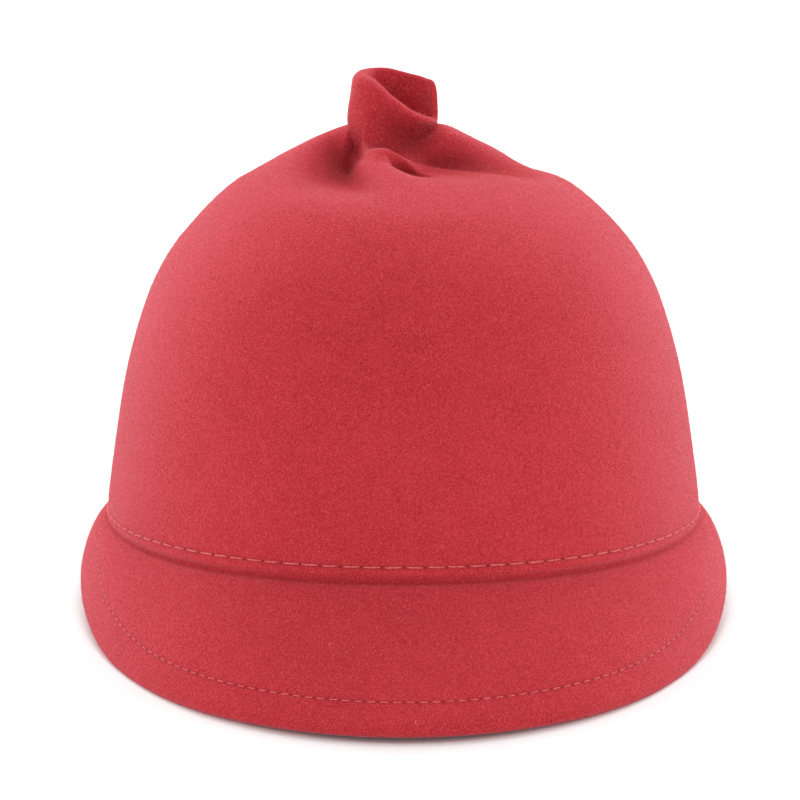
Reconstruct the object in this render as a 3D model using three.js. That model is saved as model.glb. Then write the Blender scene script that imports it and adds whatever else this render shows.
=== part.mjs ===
// A felt hat blocked from one piece: a domed crown drawn up into a small twist, and a turned-down peak.
// Millimetres. +X is the wearer's left, seen on the right from the front. -Y is the front and +Z is up.
// The hat rests on its own edge, with the middle of its outline over the origin and its lowest edge at z = 0.

import * as THREE from "three";

// Crown.
const HEAD_WIDTH = 172; // outside, side to side, at the upper row of stitches
const HEAD_LENGTH = 206; // outside, front to back, at the same row
const CROWN_HEIGHT = 104; // from that row up to the neck of the twist
const SIDE_DIP = 1.6; // how much lower that row runs at the sides than in front
const DIP_REACH = 0.3; // share of the crown's wall over which that evens out
const FELT = 2.4; // one thickness of felt

// Twist on top of the crown.
const NECK_RADIUS = 12.8; // where the crown ends and the twist stands up
const NECK_LIFT = 5; // how much higher the crown meets the twist at the back and sides than in front
const LIFT_REACH = 48; // from the middle of the twist to where that lift has run out
const LIFT_FRONT = -1.25; // the sine of the azimuth at which it would have run out round the neck
const TWIST_HEIGHT = 21.6; // from the front of the neck to the highest rim
const TWIST_OFFSET = -3.1; // the twist stands this far towards the wearer's right
const LEAN_START = 0.75; // share of CROWN_HEIGHT at which the crown starts to lean that way
const RIM_RADIUS = 12; // from the middle of the twist to its rim
const TWIST_BELLY = 1.6; // how far the wall of the twist swells below its rim
const BELLY_LOW = 0.6; // below 1, that swelling is widest below the middle of the wall
const POCKET_FLOOR = 4.5; // from the front of the neck up to the floor of the pocket in the twist
const TWIST_TURN = 55; // degrees that the folds turn for each step of one in the logarithm of the radius
const FOLD_REACH = 45; // radius at which the folds are charted by their azimuth
const FOLD_HEIGHT = 4; // height of a fold whose share in the table is one

// Peak and hem.
const PEAK_REACH = 36.0; // how far the peak stands out at the front
const PEAK_DROP = 37.2; // how far its edge lies below the upper row of stitches
const LEDGE_DROP = 4.0; // from the upper row of stitches to the groove where the peak breaks away
const LEDGE_SWELL = 0.6; // how far the felt rounds out between the stitches and the groove
const GROOVE_DEPTH = 0.8;
const GROOVE_SHARE = 0.5; // half the width of the groove, as a share of the way from the stitches down to it
const HEM_DEPTH = 12.5; // width of the edge that is folded under and stitched

// Where it rests.
const FLATTENED = 1; // how far the soft edge gives under the hat's own weight

// Sections of the crown from the stitches to the neck. Rise is a share of CROWN_HEIGHT. Width and length are
// shares of the way from the neck's radius out to half of HEAD_WIDTH and half of HEAD_LENGTH.
const CROWN_SECTIONS = [
  { rise: 0.0, width: 1.0, length: 1.0 },
  { rise: 0.14, width: 0.974, length: 0.982 },
  { rise: 0.38, width: 0.916, length: 0.93 },
  { rise: 0.58, width: 0.832, length: 0.848 },
  { rise: 0.7, width: 0.744, length: 0.762 },
  { rise: 0.79, width: 0.637, length: 0.66 },
  { rise: 0.861, width: 0.522, length: 0.545 },
  { rise: 0.902, width: 0.43, length: 0.432 },
  { rise: 0.94, width: 0.3, length: 0.29 },
  { rise: 0.968, width: 0.165, length: 0.155 },
  { rise: 0.985, width: 0.075, length: 0.07 },
  { rise: 1.0, width: 0.0, length: 0.0 },
];

// Folds that run from the twist into the crown. Azimuth is in degrees from +X, anticlockwise from above, at
// FOLD_REACH. Height is a share of FOLD_HEIGHT, below zero for a valley. Before and after are the degrees
// over which it dies away on each side. From, full and to are shares of FOLD_REACH along its length.
const FOLDS = [
  { azimuth: 5, height: -0.3, before: 35, after: 35, from: 0.62, full: 0.92, to: 1.18 },
  { azimuth: 20, height: 0.35, before: 35, after: 35, from: 1.05, full: 1.28, to: 1.6 },
  { azimuth: 52, height: 0.15, before: 36, after: 36, from: 0.2, full: 0.36, to: 0.6 },
  { azimuth: 78, height: -0.4, before: 22, after: 22, from: 0.25, full: 0.5, to: 1.0 },
  { azimuth: 115, height: 0.3, before: 24, after: 24, from: 0.25, full: 0.53, to: 1.15 },
  { azimuth: 256, height: -1.6, before: 56, after: 16, from: 0.25, full: 0.45, to: 1.15 },
  { azimuth: 270, height: -1.3, before: 30, after: 14, from: 0.12, full: 0.3, to: 0.6 },
  { azimuth: 281, height: 0.25, before: 12, after: 13, from: 0.44, full: 0.56, to: 1.0 },
  { azimuth: 296, height: 1.0, before: 30, after: 36, from: 0.35, full: 0.45, to: 0.59 },
  { azimuth: 298, height: -1.3, before: 11, after: 8, from: 0.46, full: 0.56, to: 0.76 },
  { azimuth: 320, height: -0.95, before: 50, after: 50, from: 0.2, full: 0.46, to: 1.0 },
  { azimuth: 350, height: -1.3, before: 26, after: 34, from: 0.24, full: 0.44, to: 1.1 },
];

// Rim of the twist. Azimuth as above, at the rim. Height is a share of TWIST_HEIGHT, radius of RIM_RADIUS,
// thick of FELT, where the felt is folded over more than once, and belly of TWIST_BELLY.
const RIM_POINTS = [
  { azimuth: 12, height: 0.77, radius: 1.06, thick: 0.8, belly: 0.0 },
  { azimuth: 30, height: 0.835, radius: 0.98, thick: 0.8, belly: 0.0 },
  { azimuth: 60, height: 0.885, radius: 0.89, thick: 0.9, belly: 0.2 },
  { azimuth: 100, height: 0.955, radius: 0.84, thick: 1.1, belly: 0.3 },
  { azimuth: 130, height: 0.965, radius: 0.9, thick: 1.4, belly: 0.3 },
  { azimuth: 160, height: 0.955, radius: 0.96, thick: 2.0, belly: 0.3 },
  { azimuth: 190, height: 0.92, radius: 0.99, thick: 2.4, belly: 0.3 },
  { azimuth: 215, height: 0.9, radius: 0.99, thick: 2.5, belly: 0.2 },
  { azimuth: 238, height: 0.84, radius: 0.97, thick: 2.4, belly: -0.3 },
  { azimuth: 270, height: 0.66, radius: 0.95, thick: 2.2, belly: -1.8 },
  { azimuth: 305, height: 0.47, radius: 1.0, thick: 2.0, belly: -2.4 },
  { azimuth: 335, height: 0.37, radius: 1.07, thick: 1.5, belly: -1.4 },
  { azimuth: 354, height: 0.37, radius: 1.08, thick: 0.9, belly: -0.3 },
];

// Sections of the peak and the edge, by degrees round from the front. Reach is a share of PEAK_REACH, drop of
// PEAK_DROP, ledge of LEDGE_DROP, and deep of LEDGE_SWELL and GROOVE_DEPTH. Bulge is 0 for a straight slope
// and 1 for a quarter round.
const PEAK_SECTIONS = [
  { round: 0, reach: 1.0, drop: 1.0, bulge: 0.1, ledge: 1.0, deep: 1.0 },
  { round: 25, reach: 0.83, drop: 0.98, bulge: 0.15, ledge: 1.0, deep: 1.0 },
  { round: 50, reach: 0.515, drop: 0.9, bulge: 0.35, ledge: 0.95, deep: 0.9 },
  { round: 70, reach: 0.31, drop: 0.7, bulge: 0.6, ledge: 0.7, deep: 0.5 },
  { round: 90, reach: 0.19, drop: 0.46, bulge: 0.7, ledge: 0.3, deep: 0.2 },
  { round: 120, reach: 0.07, drop: 0.385, bulge: 0.8, ledge: 0.15, deep: 0.0 },
  { round: 150, reach: 0.035, drop: 0.385, bulge: 0.8, ledge: 0.15, deep: 0.0 },
  { round: 180, reach: 0.035, drop: 0.385, bulge: 0.8, ledge: 0.15, deep: 0.0 },
];

// How finely the felt is drawn.
const COLUMNS = 84;
const CROWN_SIDE_RINGS = 7; // from the stitches to where the folds start
const CROWN_FOLD_RINGS = 11; // from there to the neck
const INNER_SIDE_RINGS = 4;
const PEAK_RINGS = 6;
const EDGE_RINGS = 8;
const TWIST_RINGS = 5;
const RIM_RINGS = 4;
const POCKET_RINGS = 3;
const DIFFERENCE = 1e-4; // step for slopes, as a share of a turn or of a section's length

const FULL_TURN = 360;
const HALF_TURN = 180;
const FRONT = 270; // azimuth of the middle of the front
const radians = THREE.MathUtils.degToRad;
const vector = (x, y, z) => new THREE.Vector3(x, y, z);
const smooth = (from, to, at) => {
  const t = THREE.MathUtils.clamp((at - from) / (to - from), 0, 1);
  return t * t * (3 - 2 * t);
};

// A smooth curve through one column of a table, at a value of its key column.
function read(rows, key, column, at) {
  let i = 0;
  while (i < rows.length - 2 && rows[i + 1][key] <= at) i += 1;
  const slope = (k) => {
    const a = rows[Math.max(k - 1, 0)];
    const b = rows[Math.min(k + 1, rows.length - 1)];
    return (b[column] - a[column]) / (b[key] - a[key]);
  };
  const span = rows[i + 1][key] - rows[i][key];
  const t = (at - rows[i][key]) / span;
  const start = rows[i][column];
  const change = rows[i + 1][column] - start;
  const [s0, s1] = [slope(i) * span, slope(i + 1) * span];
  return start + t * (s0 + t * (3 * change - 2 * s0 - s1 + t * (s0 + s1 - 2 * change)));
}

// The rim's table goes round, so its last rows also stand before its first and its first after its last.
const shifted = (rows, turn) => rows.map((row) => ({ ...row, azimuth: row.azimuth + turn }));
const RIM_ROUND = [
  ...shifted(RIM_POINTS.slice(-2), -FULL_TURN),
  ...RIM_POINTS,
  ...shifted(RIM_POINTS.slice(0, 2), FULL_TURN),
];

// Both sides of the peak are alike, so its table is read with its second row also before its first.
const PEAK_BOTH_SIDES = [{ ...PEAK_SECTIONS[1], round: -PEAK_SECTIONS[1].round }, ...PEAK_SECTIONS];

// Each crown section also gets the share of the way along the wall at which it lies.
const CROWN_ALONG = (() => {
  let length = 0;
  const walls = CROWN_SECTIONS.map((row, i) => {
    const out = (s) => NECK_RADIUS + s.width * (HEAD_WIDTH / 2 - NECK_RADIUS);
    const last = CROWN_SECTIONS[Math.max(i - 1, 0)];
    length += Math.hypot(out(row) - out(last), (row.rise - last.rise) * CROWN_HEIGHT);
    return { ...row, along: length };
  });
  return walls.map((row) => ({ ...row, along: row.along / length }));
})();

// The azimuth, in degrees, to which a column's azimuth at FOLD_REACH has turned at another radius.
function turned(column, radius) {
  const steps = Math.log(1 + (FOLD_REACH / radius) ** 2) - Math.log(2);
  return column - (TWIST_TURN * steps) / 2;
}

const HEAD_RADIUS = Math.sqrt(HEAD_WIDTH * HEAD_LENGTH) / 2;

// Radius, half width and half length of the crown at a share of the way from the stitches to the neck.
function crownSection(along) {
  const out = (half, share) => NECK_RADIUS + share * (half - NECK_RADIUS);
  const wide = out(HEAD_WIDTH / 2, read(CROWN_ALONG, "along", "width", along));
  const long = out(HEAD_LENGTH / 2, read(CROWN_ALONG, "along", "length", along));
  return { wide, long, radius: Math.sqrt(wide * long), rise: read(CROWN_ALONG, "along", "rise", along) };
}

// How far the row of stitches dips at an azimuth in radians.
const sideDip = (azimuth) => SIDE_DIP * Math.cos(azimuth) ** 2;

// The crown without its folds.
function crownBase(column, along) {
  const { wide, long, radius, rise } = crownSection(along);
  const azimuth = radians(turned(column, radius));
  const aside = TWIST_OFFSET * smooth(LEAN_START, 1, rise);
  const round = smooth(LIFT_FRONT, 0, Math.sin(azimuth));
  const lift = NECK_LIFT * round * smooth(LIFT_REACH, NECK_RADIUS, radius);
  const up = rise * CROWN_HEIGHT + lift - sideDip(azimuth) * smooth(DIP_REACH, 0, along);
  return vector(aside + wide * Math.cos(azimuth), long * Math.sin(azimuth), up);
}

// One section of the peak, read at a column.
function peakSection(column) {
  const azimuth = turned(column, HEAD_RADIUS);
  const round = Math.abs(THREE.MathUtils.euclideanModulo(azimuth - FRONT + HALF_TURN, FULL_TURN) - HALF_TURN);
  const share = (name) => read(PEAK_BOTH_SIDES, "round", name, round);
  const [reach, drop] = [share("reach") * PEAK_REACH, share("drop") * PEAK_DROP];
  const dip = sideDip(radians(azimuth));
  const band = share("ledge") * LEDGE_DROP;
  const wall = band + Math.hypot(reach, drop - dip - band);
  return { azimuth: radians(azimuth), reach, drop, dip, band, wall, deep: share("deep"), bulge: share("bulge") };
}

// The peak from the stitches at 0 to its edge at 1: straight down to the groove, then out along the slope.
function peakBase(column, share) {
  const { azimuth, reach, drop, dip, band, wall, bulge } = peakSection(column);
  const past = ((share * wall) / band - 1) / GROOVE_SHARE;
  const slope = (past < 1 ? Math.max(past + 1, 0) ** 2 / 4 : past) * GROOVE_SHARE * band;
  const along = slope / (wall - band);
  const [half, deep] = [HEAD_WIDTH / 2, HEAD_LENGTH / 2];
  const outward = vector(Math.cos(azimuth) / half, Math.sin(azimuth) / deep, 0).normalize();
  const quarter = (along * Math.PI) / 2;
  const out = reach * ((1 - bulge) * along + bulge * Math.sin(quarter));
  const fall = (drop - dip - band) * ((1 - bulge) * along + bulge * (1 - Math.cos(quarter)));
  const down = dip + share * wall - slope + fall;
  return vector(half * Math.cos(azimuth), deep * Math.sin(azimuth), -down).addScaledVector(outward, out);
}

// The whole outside without folds: below 0 the peak, above 0 the crown.
const base = (column, at) => (at < 0 ? peakBase(column, -at) : crownBase(column, at));

// The direction out of the felt, and the direction down along it.
function directions(column, at) {
  const side = base(column + DIFFERENCE * FULL_TURN, at).sub(base(column - DIFFERENCE * FULL_TURN, at));
  const low = Math.max(at - DIFFERENCE, -1);
  const high = Math.min(at + DIFFERENCE, 1);
  const down = base(column, low).sub(base(column, high)).normalize();
  return { out: down.clone().cross(side).normalize(), down };
}

// Height of the folds over the crown at a column and a radius.
function foldHeight(column, radius) {
  let height = 0;
  for (const fold of FOLDS) {
    const away = THREE.MathUtils.euclideanModulo(column - fold.azimuth + HALF_TURN, FULL_TURN) - HALF_TURN;
    const width = away < 0 ? fold.before : fold.after;
    const across = smooth(width, 0, Math.abs(away));
    const share = radius / FOLD_REACH;
    const length = smooth(fold.from, fold.full, share) * smooth(fold.to, fold.full, share);
    height += fold.height * FOLD_HEIGHT * across * length;
  }
  return height;
}

// A point of the felt, moved out of the base by the folds and by an offset.
function feltPoint(column, at, offset) {
  const fold = at > 0 ? foldHeight(column, crownSection(at).radius) : 0;
  return base(column, at).addScaledVector(directions(column, at).out, fold + offset);
}

// Shares of the way down the peak at which its groove and its hem lie, at a column.
function peakPlaces(column) {
  const { wall, band } = peakSection(column);
  return { wall, groove: band / wall, hem: 1 - HEM_DEPTH / wall, edge: 1 - FELT / wall };
}

const steps = (from, to, count) => Array.from({ length: count }, (_, i) => from + ((to - from) * i) / count);

// Outside and inside of the twist.
function rimPoint(column) {
  const azimuth = turned(column, NECK_RADIUS);
  const round = THREE.MathUtils.euclideanModulo(azimuth, FULL_TURN);
  const share = (name) => read(RIM_ROUND, "azimuth", name, round);
  const up = CROWN_HEIGHT + TWIST_HEIGHT * share("height");
  const half = (FELT * share("thick")) / 2;
  return { azimuth, radius: RIM_RADIUS * share("radius"), up, half, belly: TWIST_BELLY * share("belly") };
}
const aroundTwist = (azimuth, radius, up) =>
  vector(TWIST_OFFSET + radius * Math.cos(radians(azimuth)), radius * Math.sin(radians(azimuth)), up);

function twistWall(column, along) {
  const { azimuth, radius, up, half, belly } = rimPoint(column);
  const foot = feltPoint(column, 1, 0);
  const wide = THREE.MathUtils.lerp(NECK_RADIUS, radius, smooth(0, 1, along));
  const wall = aroundTwist(azimuth, wide + belly * Math.sin(Math.PI * along ** BELLY_LOW), 0);
  const plain = aroundTwist(azimuth, NECK_RADIUS, 0);
  wall.add(foot.clone().sub(plain).multiplyScalar((1 - along) ** 2));
  return wall.setZ(THREE.MathUtils.lerp(foot.z, up - half, along));
}

function twistRim(column, share) {
  const { azimuth, radius, up, half } = rimPoint(column);
  const over = share * Math.PI;
  return aroundTwist(azimuth, radius - half + half * Math.cos(over), up - half + half * Math.sin(over));
}

function twistPocket(column, along) {
  const { azimuth, radius, up, half } = rimPoint(column);
  const floor = CROWN_HEIGHT + POCKET_FLOOR;
  const quarter = (along * Math.PI) / 2;
  const wide = (radius - 2 * half) * Math.sqrt(Math.cos(quarter));
  return aroundTwist(azimuth, wide, floor + (up - half - floor) * (1 - Math.sin(quarter)));
}

// Rings of points, each a function of the column, from the pole inside the crown to the pole in the pocket.
const FOLD_START = 0.52; // share of the crown's wall at which the outer rings start to close up
const LEDGE_PLACES = [0.2, 0.5, 0.8, 1.05, 1.6]; // shares of the way from the stitches to the groove
const UNDER_LEDGE = 1.5; // the inside follows the peak from here, as a share of the same way
const HEM_STEP = 0.3; // how far the cut end of the hem slopes, as a share of FELT

function feltRings() {
  const rings = [];
  const place = (ring) => rings.push(ring);

  const inner = (at) => place((column) => feltPoint(column, at, -FELT));
  steps(1, FOLD_START, CROWN_FOLD_RINGS).slice(1).forEach(inner);
  steps(FOLD_START, 0, INNER_SIDE_RINGS).forEach(inner);
  place((column) => feltPoint(column, 0, -FELT));
  place((column) => feltPoint(column, -peakPlaces(column).groove * UNDER_LEDGE, -FELT));
  place((column) => feltPoint(column, -peakPlaces(column).hem, -FELT));
  place((column) => {
    const { hem, wall } = peakPlaces(column);
    return feltPoint(column, -hem - (HEM_STEP * FELT) / wall, -2 * FELT);
  });

  steps(1, 0, EDGE_RINGS).forEach((share) => {
    place((column) => {
      const at = -peakPlaces(column).edge;
      const { out, down } = directions(column, at);
      const round = share * Math.PI;
      const point = feltPoint(column, at, -FELT);
      return point.addScaledVector(out, FELT * Math.cos(round)).addScaledVector(down, FELT * Math.sin(round));
    });
  });

  const lastLedge = LEDGE_PLACES[LEDGE_PLACES.length - 1];
  steps(1, 0, PEAK_RINGS).forEach((share) => {
    place((column) => {
      const { edge, groove } = peakPlaces(column);
      return feltPoint(column, -THREE.MathUtils.lerp(lastLedge * groove, edge, share), 0);
    });
  });
  [...LEDGE_PLACES].reverse().forEach((share) => {
    place((column) => {
      const { groove } = peakPlaces(column);
      const swell = LEDGE_SWELL * Math.sin(Math.PI * Math.min(share, 1)) ** 2;
      const dent = GROOVE_DEPTH * smooth(GROOVE_SHARE, 0, Math.abs(share - 1));
      return feltPoint(column, -share * groove, (swell - dent) * peakSection(column).deep);
    });
  });

  const outer = (at) => place((column) => feltPoint(column, at, 0));
  steps(0, FOLD_START, CROWN_SIDE_RINGS).forEach(outer);
  steps(FOLD_START, 1, CROWN_FOLD_RINGS).forEach(outer);
  steps(0, 1, TWIST_RINGS).forEach((along) => place((column) => twistWall(column, along)));
  steps(0, 1, RIM_RINGS).forEach((share) => place((column) => twistRim(column, share)));
  steps(0, 1, POCKET_RINGS).forEach((along) => place((column) => twistPocket(column, along)));
  return rings;
}

// The angle at which the edge touches a flat surface both before and behind the middle, in radians.
const STEEPEST_REST = Math.PI / 8;
const HALVINGS = 40;
function restAngle(edge) {
  const lowest = (angle, front) => {
    const half = edge.filter((p) => p.y < 0 === front);
    return Math.min(...half.map((p) => p.z * Math.cos(angle) - p.y * Math.sin(angle)));
  };
  let [low, high] = [-STEEPEST_REST, STEEPEST_REST];
  for (let i = 0; i < HALVINGS; i += 1) {
    const angle = (low + high) / 2;
    if (lowest(angle, true) > lowest(angle, false)) high = angle;
    else low = angle;
  }
  return (low + high) / 2;
}

// The points stood on their edge, which is pressed flat where it rests.
function atRest(points) {
  const angle = restAngle(points);
  points.forEach((p) => p.applyAxisAngle(vector(1, 0, 0), -angle));
  const box = new THREE.Box3().setFromPoints(points);
  const middle = (box.min.y + box.max.y) / 2;
  const floor = box.min.z + FLATTENED;
  points.forEach((p) => p.set(p.x, p.y - middle, Math.max(p.z - floor, 0)));
}

// One closed body from the rings, with a pole at each end. Each patch is split across its short way.
function closedBody(rings, firstPole, lastPole) {
  const columns = steps(0, FULL_TURN, COLUMNS).map((azimuth) => azimuth - turned(0, HEAD_RADIUS));
  const points = rings.flatMap((ring) => columns.map((column) => ring(column)));
  const [first, last] = [points.length, points.length + 1];
  points.push(firstPole, lastPole);
  atRest(points);
  const faces = [];
  const at = (ring, column) => ring * COLUMNS + (column % COLUMNS);
  for (let c = 0; c < COLUMNS; c += 1) {
    faces.push(first, at(0, c + 1), at(0, c));
    faces.push(last, at(rings.length - 1, c), at(rings.length - 1, c + 1));
    for (let r = 0; r < rings.length - 1; r += 1) {
      const [a, b, d, e] = [at(r, c), at(r, c + 1), at(r + 1, c), at(r + 1, c + 1)];
      const straight = points[a].distanceTo(points[e]) < points[b].distanceTo(points[d]);
      if (straight) faces.push(a, b, e, a, e, d);
      else faces.push(a, b, d, b, e, d);
    }
  }
  const geometry = new THREE.BufferGeometry().setFromPoints(points);
  geometry.setIndex(faces);
  geometry.computeVertexNormals();
  return geometry;
}

function feltBody() {
  const neckUnder = steps(0, FULL_TURN, COLUMNS).map((column) => feltPoint(column, 1, -FELT).z);
  const firstPole = vector(TWIST_OFFSET, 0, Math.min(...neckUnder));
  const lastPole = vector(TWIST_OFFSET, 0, CROWN_HEIGHT + POCKET_FLOOR);
  const felt = new THREE.MeshStandardMaterial({ color: "#c63f4b", roughness: 0.95, metalness: 0 });
  const body = new THREE.Mesh(closedBody(feltRings(), firstPole, lastPole), felt);
  body.name = "felt_body";
  return body;
}

const group = new THREE.Group();
group.add(feltBody());

export default group;
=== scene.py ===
# %% [markdown]
# A felt hat, from its one piece of felt to its last stray fibre.
#
# The real hat is blocked: a cone of wool felt is steamed, pulled over a wooden head and left to dry. The tip
# of the cone stays as a little twist on top, the front of its edge is pulled out into a peak, and the edge is
# turned under and stitched. This lesson builds the same things in the same order: felt, stitches, nap, light.

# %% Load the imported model
import math

import bpy
import numpy as np
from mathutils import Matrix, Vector


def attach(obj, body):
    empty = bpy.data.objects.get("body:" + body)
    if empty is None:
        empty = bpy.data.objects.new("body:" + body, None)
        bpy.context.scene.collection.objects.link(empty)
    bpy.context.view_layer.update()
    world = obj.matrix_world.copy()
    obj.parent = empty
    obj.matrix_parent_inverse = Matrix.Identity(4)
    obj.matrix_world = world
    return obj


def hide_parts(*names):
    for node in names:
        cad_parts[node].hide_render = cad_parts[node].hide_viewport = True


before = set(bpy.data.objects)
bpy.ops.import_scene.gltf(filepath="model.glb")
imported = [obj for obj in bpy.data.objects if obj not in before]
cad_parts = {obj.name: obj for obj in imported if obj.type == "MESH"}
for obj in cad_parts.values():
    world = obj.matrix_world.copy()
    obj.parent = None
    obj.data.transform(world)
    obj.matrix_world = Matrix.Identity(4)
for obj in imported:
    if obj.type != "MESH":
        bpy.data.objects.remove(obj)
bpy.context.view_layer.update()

MM = 0.001  # the sizes below are in millimetres, and every object is in metres

# %% [markdown]
# Sizes come first. They are the maker's own: the head the hat fits, the thickness of the felt, how far the
# peak stands out, how high the twist is. Everything that follows is worked out from them, so the felt here
# lies where the plain solid of the model lies.

# %% Sizes of the hat
HEAD_WIDTH = 172.0  # outside, side to side, at the upper row of stitches
HEAD_LENGTH = 206.0
CROWN_HEIGHT = 104.0  # from that row up to the neck of the twist
SIDE_DIP = 1.6  # how much lower that row runs at the sides than in front
DIP_REACH = 0.3  # share of the crown's wall over which that evens out
FELT = 2.4
NECK_RADIUS = 12.8
NECK_LIFT = 5.0  # the crown meets the twist this much higher at the back and sides
LIFT_REACH = 48.0
LIFT_FRONT = -1.25  # the sine of the azimuth at which that lift would have run out round the neck
LEAN_START = 0.75  # share of the crown's height at which it starts to lean towards the twist
TWIST_HEIGHT = 21.6
TWIST_OFFSET = -3.1
RIM_RADIUS = 12.0
TWIST_BELLY = 1.6
BELLY_LOW = 0.6  # below 1, the belly or hollow of that wall is widest below its middle
POCKET_FLOOR = 4.5
TWIST_TURN = 55.0  # degrees for each step of one in the logarithm of the radius
FOLD_REACH = 45.0
FOLD_HEIGHT = 4.0  # height of a fold whose share in the table is one
PEAK_REACH = 36.0
PEAK_DROP = 37.2
LEDGE_DROP = 4.0
LEDGE_SWELL = 0.6
GROOVE_DEPTH = 0.8
GROOVE_SHARE = 0.5  # half the width of the groove, as a share of the way from the stitches down to it
HEM_DEPTH = 12.5
FLATTENED = 1.0
print("head", HEAD_WIDTH, "by", HEAD_LENGTH, "mm; felt", FELT, "mm thick")

# %% [markdown]
# A blocked shape has no straight line in it, so it is kept as a few sections with a smooth curve read through
# them. Lengths are shares of the sizes above. The crown has a row for each height, the peak a row for each
# direction, the folds a row each, and the slanting rim of the twist a row for each place round it.

# %% Sections of the crown, the peak, the folds and the twist
CROWN_SECTIONS = {
    "rise": [0, 0.14, 0.38, 0.58, 0.7, 0.79, 0.861, 0.902, 0.94, 0.968, 0.985, 1],
    "width": [1, 0.974, 0.916, 0.832, 0.744, 0.637, 0.522, 0.43, 0.3, 0.165, 0.075, 0],
    "length": [1, 0.982, 0.93, 0.848, 0.762, 0.66, 0.545, 0.432, 0.29, 0.155, 0.07, 0],
}
PEAK_SECTIONS = {
    "round": [-25, 0, 25, 50, 70, 90, 120, 150, 180],
    "reach": [0.83, 1, 0.83, 0.515, 0.31, 0.19, 0.07, 0.035, 0.035],
    "drop": [0.98, 1, 0.98, 0.9, 0.7, 0.46, 0.385, 0.385, 0.385],
    "bulge": [0.15, 0.1, 0.15, 0.35, 0.6, 0.7, 0.8, 0.8, 0.8],
    "ledge": [1, 1, 1, 0.95, 0.7, 0.3, 0.15, 0.15, 0.15],
    "deep": [1, 1, 1, 0.9, 0.5, 0.2, 0, 0, 0],
}
FOLDS = [  # azimuth, height, before, after, from, full, to
    (5, -0.3, 35, 35, 0.62, 0.92, 1.18),
    (20, 0.35, 35, 35, 1.05, 1.28, 1.6),
    (52, 0.15, 36, 36, 0.2, 0.36, 0.6),
    (78, -0.4, 22, 22, 0.25, 0.5, 1),
    (115, 0.3, 24, 24, 0.25, 0.53, 1.15),
    (256, -1.6, 56, 16, 0.25, 0.45, 1.15),
    (270, -1.3, 30, 14, 0.12, 0.3, 0.6),
    (281, 0.25, 12, 13, 0.44, 0.56, 1),
    (296, 1, 30, 36, 0.35, 0.45, 0.59),
    (298, -1.3, 11, 8, 0.46, 0.56, 0.76),
    (320, -0.95, 50, 50, 0.2, 0.46, 1),
    (350, -1.3, 26, 34, 0.24, 0.44, 1.1),
]
RIM_POINTS = {
    "azimuth": [12, 30, 60, 100, 130, 160, 190, 215, 238, 270, 305, 335, 354],
    "height": [0.77, 0.835, 0.885, 0.955, 0.965, 0.955, 0.92, 0.9, 0.84, 0.66, 0.47, 0.37, 0.37],
    "radius": [1.06, 0.98, 0.89, 0.84, 0.9, 0.96, 0.99, 0.99, 0.97, 0.95, 1, 1.07, 1.08],
    "thick": [0.8, 0.8, 0.9, 1.1, 1.4, 2, 2.4, 2.5, 2.4, 2.2, 2, 1.5, 0.9],
    "belly": [0, 0, 0.2, 0.3, 0.3, 0.3, 0.3, 0.2, -0.3, -1.8, -2.4, -1.4, -0.3],
}
print(len(FOLDS), "folds, and", len(RIM_POINTS["azimuth"]), "places on the rim of the twist")


# %% [markdown]
# A table has to be read smoothly, or the felt would show a kink at each section. A cubic runs from each row
# to the next, with slopes taken from the rows on either side. Straight lines are simpler, but look folded.

# %% Read a smooth curve through a table
def read(keys, values, at):
    keys, values = np.asarray(keys, float), np.asarray(values, float)
    slopes = np.empty_like(values)
    slopes[1:-1] = (values[2:] - values[:-2]) / (keys[2:] - keys[:-2])
    slopes[0] = (values[1] - values[0]) / (keys[1] - keys[0])
    slopes[-1] = (values[-1] - values[-2]) / (keys[-1] - keys[-2])
    row = np.clip(np.searchsorted(keys, at, side="right") - 1, 0, len(keys) - 2)
    span = keys[row + 1] - keys[row]
    t = (at - keys[row]) / span
    change = values[row + 1] - values[row]
    s0, s1 = slopes[row] * span, slopes[row + 1] * span
    return values[row] + t * (s0 + t * (3 * change - 2 * s0 - s1 + t * (s0 + s1 - 2 * change)))


def smooth(start, end, at):
    t = np.clip((at - start) / (end - start), 0, 1)
    return t * t * (3 - 2 * t)


def round_table(table):
    """The rim's rows again a full turn lower and higher, so that reading it goes on round."""
    keys = np.asarray(table["azimuth"], float)
    rows = {name: np.tile(np.asarray(v, float), 3) for name, v in table.items()}
    rows["azimuth"] = np.concatenate([keys - 360, keys, keys + 360])
    return rows


RIM_ROUND = round_table(RIM_POINTS)
left_of_rim = read(RIM_ROUND["azimuth"], RIM_ROUND["height"], 180.0)
print("on its left the rim is at", round(float(left_of_rim), 2), "of the twist's height")


# %% [markdown]
# The crown is an oval that closes towards the neck of the twist. Its columns turn as they climb, by the
# logarithm of the radius, because cloth that is twisted at its middle turns most where it is narrowest. Every
# fold runs along a column, so it curves into the twist by itself.

# %% The crown without its folds
HEAD_RADIUS = math.sqrt(HEAD_WIDTH * HEAD_LENGTH) / 2


def crown_along():
    """The share of the way up the wall at which each section lies."""
    out = NECK_RADIUS + np.array(CROWN_SECTIONS["width"]) * (HEAD_WIDTH / 2 - NECK_RADIUS)
    wall = np.hypot(np.diff(out), np.diff(CROWN_SECTIONS["rise"]) * CROWN_HEIGHT)
    return np.concatenate([[0], np.cumsum(wall)]) / wall.sum()


ALONG = crown_along()


def turned(column, radius):
    return column - TWIST_TURN / 2 * (np.log(1 + (FOLD_REACH / radius) ** 2) - math.log(2))


def crown_section(along):
    wide = NECK_RADIUS + read(ALONG, CROWN_SECTIONS["width"], along) * (HEAD_WIDTH / 2 - NECK_RADIUS)
    long = NECK_RADIUS + read(ALONG, CROWN_SECTIONS["length"], along) * (HEAD_LENGTH / 2 - NECK_RADIUS)
    return wide, long, np.sqrt(wide * long), read(ALONG, CROWN_SECTIONS["rise"], along)


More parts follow.
